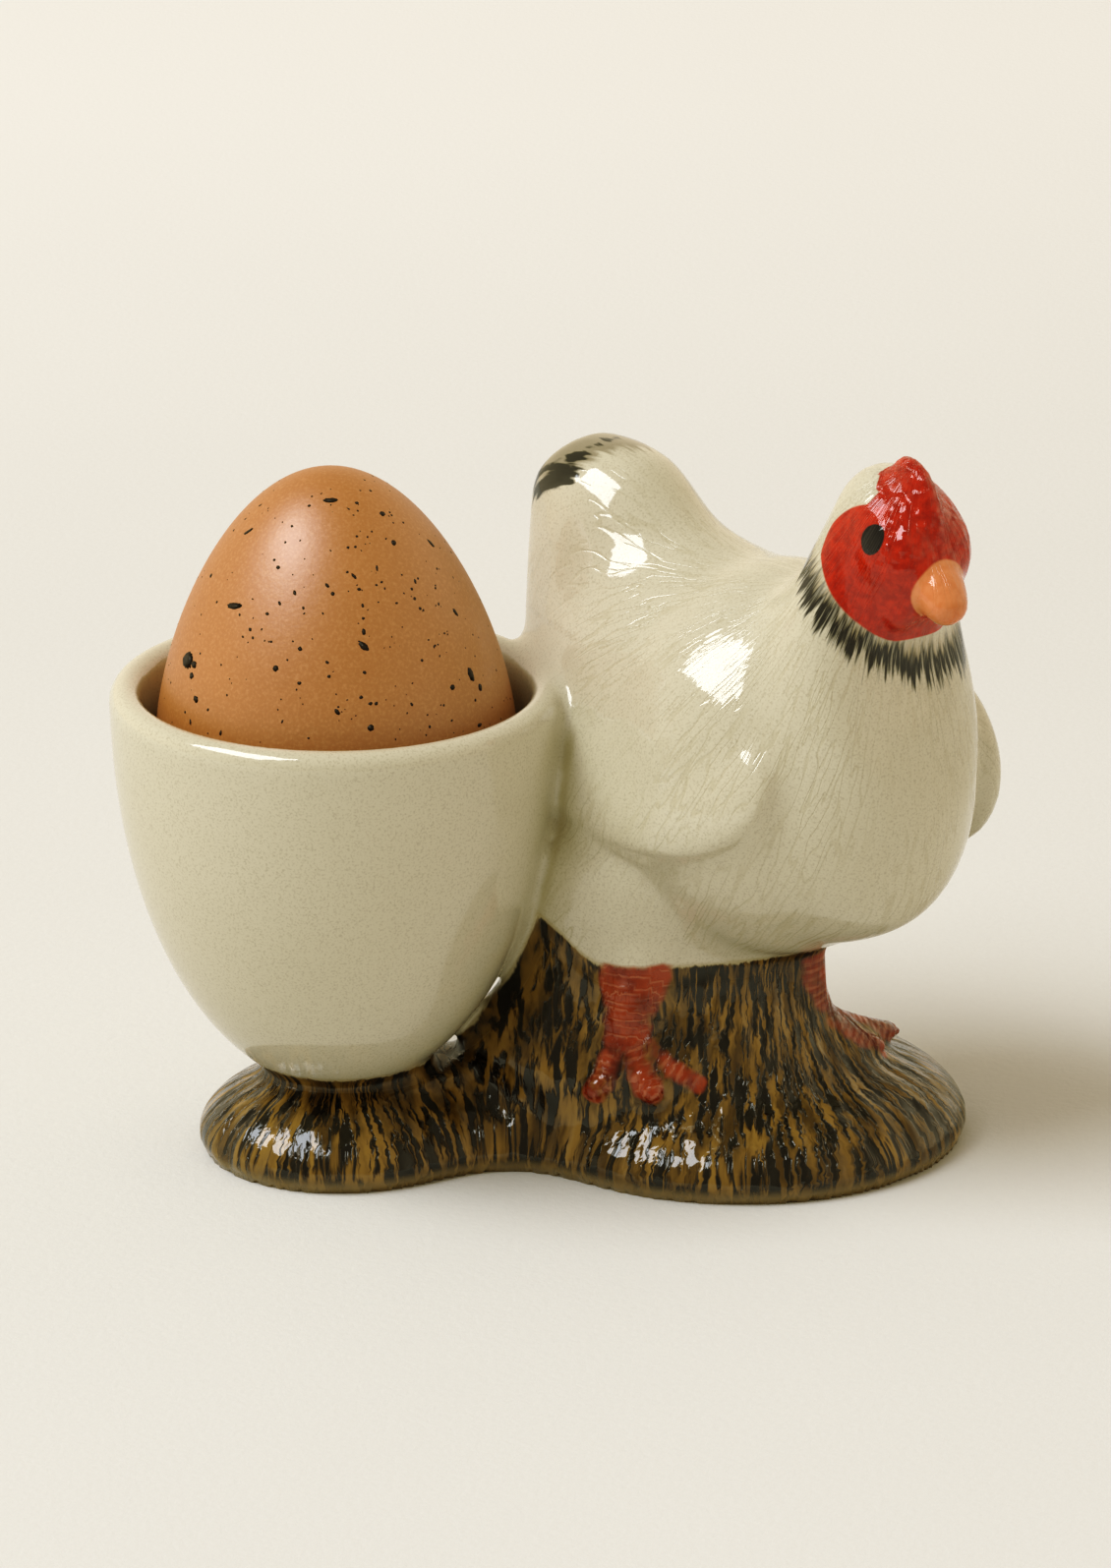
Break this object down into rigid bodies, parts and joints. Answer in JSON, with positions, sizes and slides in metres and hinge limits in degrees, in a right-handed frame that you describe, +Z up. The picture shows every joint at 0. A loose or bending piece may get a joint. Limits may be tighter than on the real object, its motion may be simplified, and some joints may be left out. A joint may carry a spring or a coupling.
{
  "type": "boiled egg in egg cup",
  "caption": "Whole boiled brown egg with dark speckles standing in a cream glazed ceramic egg cup, made in one piece with a modelled hen and a brown base.",
  "frame": {"origin": "middle of the whole in plan, on the surface it stands on", "axes": "+Z up, +X from the cup to the hen, +Y away from the side the hen's right eye looks to"},
  "size_m": [0.1108, 0.0612, 0.0954],
  "materials": {
    "glazed_body": "glossy clear glaze over a cream body with painted red, orange, black and brown areas",
    "egg_shell": null
  },
  "bodies": {
    "root": {"hen_egg_cup": "glazed_body", "boiled_egg": "egg_shell"}
  },
  "joints": []
}
